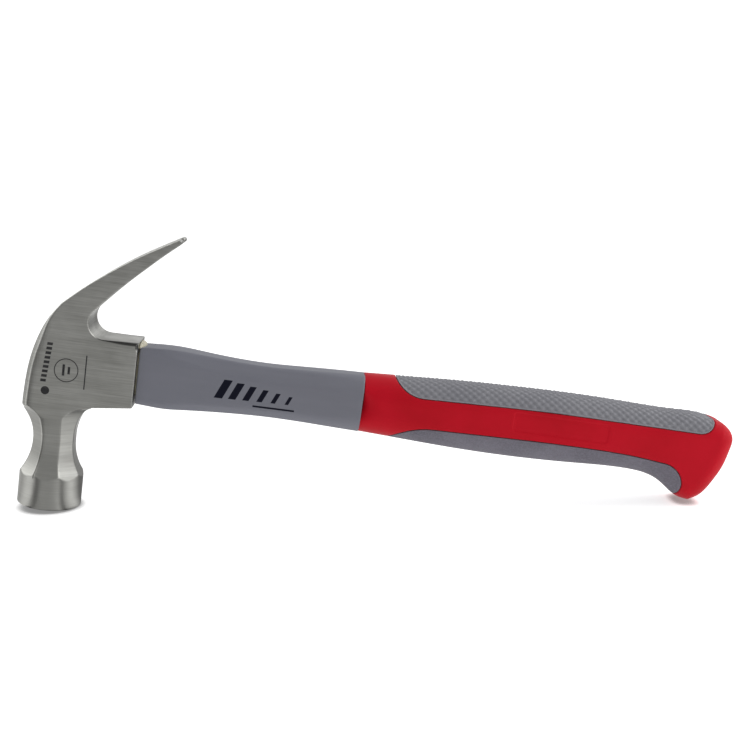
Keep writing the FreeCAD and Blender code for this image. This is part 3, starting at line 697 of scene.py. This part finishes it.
def fibreglass():
    s = Shader("pultruded_fibreglass")
    strands = s.noise(2.6, 3, 0.6, (0.01, 1, 1))
    colour = s.blend(strands, (0.42, 0.37, 0.16), (0.68, 0.62, 0.36))
    return s.finish(Base_Color=colour, Roughness=s.ramp(strands, 0.3, 0.7, 0.2, 0.35),
                    Normal=s.bump(strands, 0.4, 0.05))


def jacket():
    """Moulded grey plastic with faint flow clouds, and a plain row of slanted bars."""
    s = Shader("moulded_jacket")
    grain = s.noise(4.5, 2, 0.6)
    cloud = s.noise(0.05, 4, 0.55, (0.4, 1, 1))
    flow = s.noise(0.25, 3, 0.5, (0.12, 1, 1))
    tone = s.math("ADD", s.math("MULTIPLY", cloud, 0.6), s.math("MULTIPLY", flow, 0.4))
    colour = s.blend(s.ramp(tone, 0.3, 0.7), (0.172, 0.177, 0.212), (0.196, 0.200, 0.236))
    colour = s.blend(s.ramp(grain, 0.35, 0.65, 0.0, 0.12), colour, (0.26, 0.26, 0.29))
    marks = [s.box(98.0, 59.0, 9.5, 0.42)]
    marks += [s.box(74.5 + 6.0 * k, 65.2 - 0.35 * k, 1.9 - 0.22 * k, 4.4 - 0.5 * k, 0.45)
              for k in range(6)]
    ink = s.math("MULTIPLY", s.inside(s.union(*marks)), s.near_side(6.0))
    colour = s.blend(ink, colour, (0.003, 0.004, 0.014))
    return s.finish(Base_Color=colour, Roughness=s.ramp(grain, 0.3, 0.7, 0.42, 0.52),
                    Specular_IOR_Level=s.ramp(ink, 0.0, 1.0, 0.45, 0.15),
                    Normal=s.bump(grain, 0.25, 0.05))


def red_rubber():
    s = Shader("red_soft_grip")
    grain = s.noise(3.6, 3, 0.6)
    cloud = s.noise(0.045, 4, 0.55)
    colour = s.blend(s.ramp(cloud, 0.3, 0.7), (0.50, 0.001, 0.010), (0.58, 0.002, 0.015))
    colour = s.blend(s.ramp(grain, 0.35, 0.7, 0.0, 0.10), colour, (0.52, 0.01, 0.03))
    return s.finish(Base_Color=colour, Roughness=s.ramp(grain, 0.3, 0.7, 0.44, 0.56),
                    Specular_IOR_Level=0.12, Sheen_Weight=0.16, Sheen_Roughness=0.4,
                    Normal=s.bump(grain, 0.3, 0.06))


def brighter(colour, times):
    return tuple(min(1.0, times * part) for part in colour)


def pad(name, dark, light, grain_size, speckle, height, edges):
    """Soft grey rubber: a clouded colour with a speckle of grains, raised by a height in mm. Painted
    shade darkens its hollows and a painted highlight lightens its outer edges, by the share that
    edges gives."""
    s = Shader(name)
    grain = s.noise(grain_size, 3, 0.65)
    cloud = s.noise(0.06, 4, 0.55)
    colour = s.blend(s.ramp(cloud, 0.3, 0.7), dark, light)
    colour = s.blend(s.ramp(grain, 0.42, 0.60, 0.0, speckle), colour, brighter(light, 1.6))
    point = s.pointiness()
    # Painted shade in the hollows and painted highlight on the outer edges, from pointiness.
    colour = s.blend(s.ramp(point, 0.50, 0.44, 0.0, edges), colour, brighter(dark, 0.45))
    colour = s.blend(s.ramp(point, 0.50, 0.56, 0.0, edges), colour, brighter(light, 1.7))
    return s.finish(Base_Color=colour, Roughness=s.ramp(grain, 0.3, 0.7, 0.5, 0.64),
                    Specular_IOR_Level=0.35, Normal=s.bump(grain, 0.4, height))


TABLE_GLOW = 0.62        # own light of the table to the camera
TABLE_BOUNCE = 0.30      # own light of the table to soft surfaces
PAINTED_SHADOW_REACH = 0.0048   # how near a piece darkens the table with a painted contact shadow, in metres


def floor_paint():
    """A pale table lit a little from below, with a painted contact shadow where a piece stands on
    it.

    What steel sees in it follows the studio's horizon, as with grey cards laid round the hammer.
    That glow is a painted reflection: a pool brightest a little way off, darkened by the painted
    contact shadow.
    """
    s = Shader("pale_floor")
    path = s.add("ShaderNodeLightPath")
    # Painted contact shadow: the table darkens where a piece occludes it, for the camera and in what
    # steel sees.
    near = s.add("ShaderNodeAmbientOcclusion", samples=16, Distance=PAINTED_SHADOW_REACH)
    painted_contact_shadow = s.ramp(near.outputs["AO"], 0.42, 0.88, 0.36, 1.0)
    seen = s.add("ShaderNodeMix", data_type="FLOAT", Factor=path.outputs["Is Camera Ray"])
    s.join(1.0, seen.inputs[2])
    s.join(painted_contact_shadow, seen.inputs[3])
    colour = s.blend(s.noise(0.01, 3, 0.5), (0.90, 0.90, 0.90), (0.92, 0.92, 0.92))
    colour = s.blend(seen.outputs[0], (0.0, 0.0, 0.0), colour)
    paint = s.add("ShaderNodeBsdfDiffuse", Color=colour)
    glow = s.math("ADD", s.product(path.outputs["Is Camera Ray"], TABLE_GLOW, painted_contact_shadow),
                  s.math("MULTIPLY", path.outputs["Is Diffuse Ray"], TABLE_BOUNCE))
    glow = s.add("ShaderNodeEmission", Color=(1.0, 1.0, 1.0), Strength=glow)
    lit = s.add("ShaderNodeAddShader")
    s.join(paint, lit.inputs[0])
    s.join(glow, lit.inputs[1])
    away = s.add("ShaderNodeVectorMath", operation="LENGTH", Vector=s.place).outputs["Value"]
    # Painted reflection: what steel sees of the table is brightest a little way from the hammer, and
    # darker near it and far off.
    painted_reflection_pool = s.product(s.ramp(away, 70.0, 150.0, 1.12, 1.42), s.ramp(away, 210.0, 560.0, 1.0, 0.56))
    cards = s.add("ShaderNodeEmission", Color=horizon_light(s, s.place),
                  Strength=s.math("MULTIPLY", painted_contact_shadow, painted_reflection_pool))
    s.show(path.outputs["Is Glossy Ray"], lit, cards)
    return s.material


# ---------------------------------------------------------------- pieces

head_grid = Grid((-16.5, 0, -1.5), (52.0, 15.6, 131.5), 0.27)
resin_grid = Grid((-15.0, 0, 52.0), (39.0, 9.5, 83.0), 0.3)
jacket_grid = Grid((34.0, 0, 36.0), (312.0, 12.2, 81.5), 0.36)
grip_grid = Grid((135.0, 0, 36.0), (317.5, 14.9, 83.5), 0.3)
form = grip_form(grip_grid)

build("hammer_head_visual", head_grid, head_field(head_grid), "hammer_head", 190000, steel())
build("eye_resin_visual", resin_grid, resin_field(resin_grid), "eye_resin", 40000, resin())
build("handle_jacket_visual", jacket_grid, jacket_field(jacket_grid, grip_form(jacket_grid)),
      "handle_jacket", 120000, jacket())
build("grip_sleeve_visual", grip_grid, sleeve_field(grip_grid, form), "grip_sleeve", 160000,
      red_rubber())
build("upper_grip_pad_visual", grip_grid, pad_field(grip_grid, form, upper_window(), True),
      "upper_grip_pad", 180000,
      pad("textured_grip_pad", (0.205, 0.205, 0.228), (0.240, 0.240, 0.262), grain_size=3.0,
          speckle=0.16, height=0.05, edges=0.4))
build("lower_grip_pad_visual", grip_grid, pad_field(grip_grid, form, lower_window(), False),
      "lower_grip_pad", 120000,
      pad("smooth_grip_pad", (0.118, 0.112, 0.138), (0.163, 0.156, 0.187), grain_size=1.3,
          speckle=0.34, height=0.45, edges=0.3))

core = frame["nodes"]["fibreglass_core"]
core.data.materials.clear()
core.data.materials.append(fibreglass())


# ---------------------------------------------------------------- stage

def plane(name, size, place, material):
    """A flat stage panel facing up. Its origin is the hammer's, so its cards lie round that."""
    x, y = size[0] / 2, size[1] / 2
    corners = [(place[0] + i * x, place[1] + j * y, place[2])
               for i, j in ((-1, -1), (1, -1), (1, 1), (-1, 1))]
    mesh = bpy.data.meshes.new(name)
    mesh.from_pydata(corners, [], [(0, 1, 2, 3)])
    panel = bpy.data.objects.new(name, mesh)
    mesh.materials.append(material)
    bpy.context.scene.collection.objects.link(panel)


def area_light(name, size, place, target, power):
    """A rectangular soft light aimed at a point."""
    data = bpy.data.lights.new(name, "AREA")
    data.shape = "RECTANGLE"
    data.size, data.size_y = size
    data.energy = power
    light = bpy.data.objects.new(name, data)
    bpy.context.scene.collection.objects.link(light)
    light.location = place
    aim = Vector(target) - Vector(place)
    light.rotation_euler = aim.to_track_quat("-Z", "Y").to_euler()
    light.visible_camera = False
    light.visible_glossy = False


# Brightness of the studio round the horizon, as (degrees from the front towards +X, radiance).
HORIZON = ((-180, 1.40), (-164, 1.40), (-145, 0.62), (-106, 0.42), (-92, 0.60), (-82, 0.80),
           (-51, 0.84), (-45, 0.14), (-31, 0.04), (-24, 0.38), (10, 0.36), (26, 0.42),
           (34, 0.60), (40, 0.30), (46, 0.10), (52, 0.40), (60, 0.62), (72, 0.86), (82, 0.84),
           (94, 0.50), (103, 0.36), (111, 0.18), (148, 0.20), (166, 0.36), (175, 0.90),
           (180, 1.40))

OVERHEAD_CARDS = 1.8
DARK_STRIP = 0.34     # between the overhead cards
BACK_WALL = 0.62      # where the strip comes down behind


def horizon_light(nodes, direction):
    """The studio's brightness for a direction, from its angle round the horizon alone."""
    x, y, _ = nodes.add("ShaderNodeSeparateXYZ", Vector=direction).outputs
    turn = nodes.math("ARCTAN2", x, nodes.math("MULTIPLY", y, -1.0))
    table = nodes.add("ShaderNodeValToRGB", Fac=nodes.ramp(turn, -math.pi, math.pi))
    elements = table.color_ramp.elements
    for number, (degrees, radiance) in enumerate(HORIZON):
        place = (degrees + 180) / 360
        if number == 0:
            element = elements[0]
        elif number == len(HORIZON) - 1:
            element = elements[len(elements) - 1]
        else:
            element = elements.new(place)
        element.position = place
        element.color = (radiance, radiance, radiance, 1)
    return table.outputs[0]


def studio_world():
    """A white room: big soft cards overhead at the left and right, with a dark strip between them.

    Polished steel sees the cards; everything else sees a soft even light, a little stronger from
    the right; the camera sees white.
    """
    world = bpy.data.worlds.new("studio")
    bpy.context.scene.world = world
    n = Nodes(world)
    direction = n.add("ShaderNodeTexCoord").outputs["Generated"]
    x, y, z = n.add("ShaderNodeSeparateXYZ", Vector=direction).outputs
    wide = n.math("ABSOLUTE", x)
    path = n.add("ShaderNodeLightPath")
    rise = n.math("SUBTRACT", z, n.math("MULTIPLY", n.math("ABSOLUTE", y), 0.3))
    rise = n.math("MULTIPLY_ADD", n.math("MAXIMUM", x, 0.0), 0.2, rise)
    overhead = n.ramp(rise, 0.12, 0.50, kind="SMOOTHSTEP")
    shiny = n.blend(overhead, horizon_light(n, direction), (OVERHEAD_CARDS,) * 3)
    between = n.product(n.ramp(wide, 0.55, 0.34, kind="SMOOTHSTEP"),
                        n.ramp(z, 0.05, 0.16, kind="SMOOTHSTEP"))
    shiny = n.blend(between, shiny, n.ramp(y, 0.50, 0.85, DARK_STRIP, BACK_WALL))
    even = n.math("MULTIPLY_ADD", x, 0.34, 0.56)
    seen = n.blend(path.outputs["Is Glossy Ray"], even, shiny)
    light = n.add("ShaderNodeBackground", Color=seen)
    white = n.add("ShaderNodeBackground", Color=(1.0, 1.0, 1.0), Strength=1.1)
    n.show(path.outputs["Is Camera Ray"], light, white, "ShaderNodeOutputWorld")


CAMERA_LENS = 56.93
CAMERA_PLACE = (0.123475, -0.5383, 0.16419)
CAMERA_RIGHT = (0.99868, -0.05111, 0.00634)
CAMERA_UP = (0.00354, 0.19088, 0.98161)
CAMERA_BACK = (-0.05138, -0.98028, 0.19081)


def camera():
    """The three-quarter studio camera: 11 degrees down, 3 degrees round, a long lens."""
    data = bpy.data.cameras.new("camera")
    data.sensor_width = 36.0
    data.lens = CAMERA_LENS
    data.clip_start = 0.01
    data.clip_end = 50
    viewer = bpy.data.objects.new("camera", data)
    bpy.context.scene.collection.objects.link(viewer)
    turn = Matrix((CAMERA_RIGHT, CAMERA_UP, CAMERA_BACK)).transposed()
    viewer.matrix_world = Matrix.Translation(CAMERA_PLACE) @ turn.to_4x4()
    bpy.context.scene.camera = viewer


FLOOR_Z = cad_box[0][2]

plane("floor", (8.0, 4.24), (0.15, 1.88, FLOOR_Z), floor_paint())
area_light("overhead", (1.2, 0.9), (0.1, 0.20, 1.0), (0.14, 0, 0), 2.6)
area_light("right_card", (0.5, 0.4), (0.75, 0.04, 0.15), (0.31, 0, 0.06), 1.2)
studio_world()
camera()
bpy.context.scene.view_settings.view_transform = "Standard"
bpy.context.scene.view_settings.look = "None"
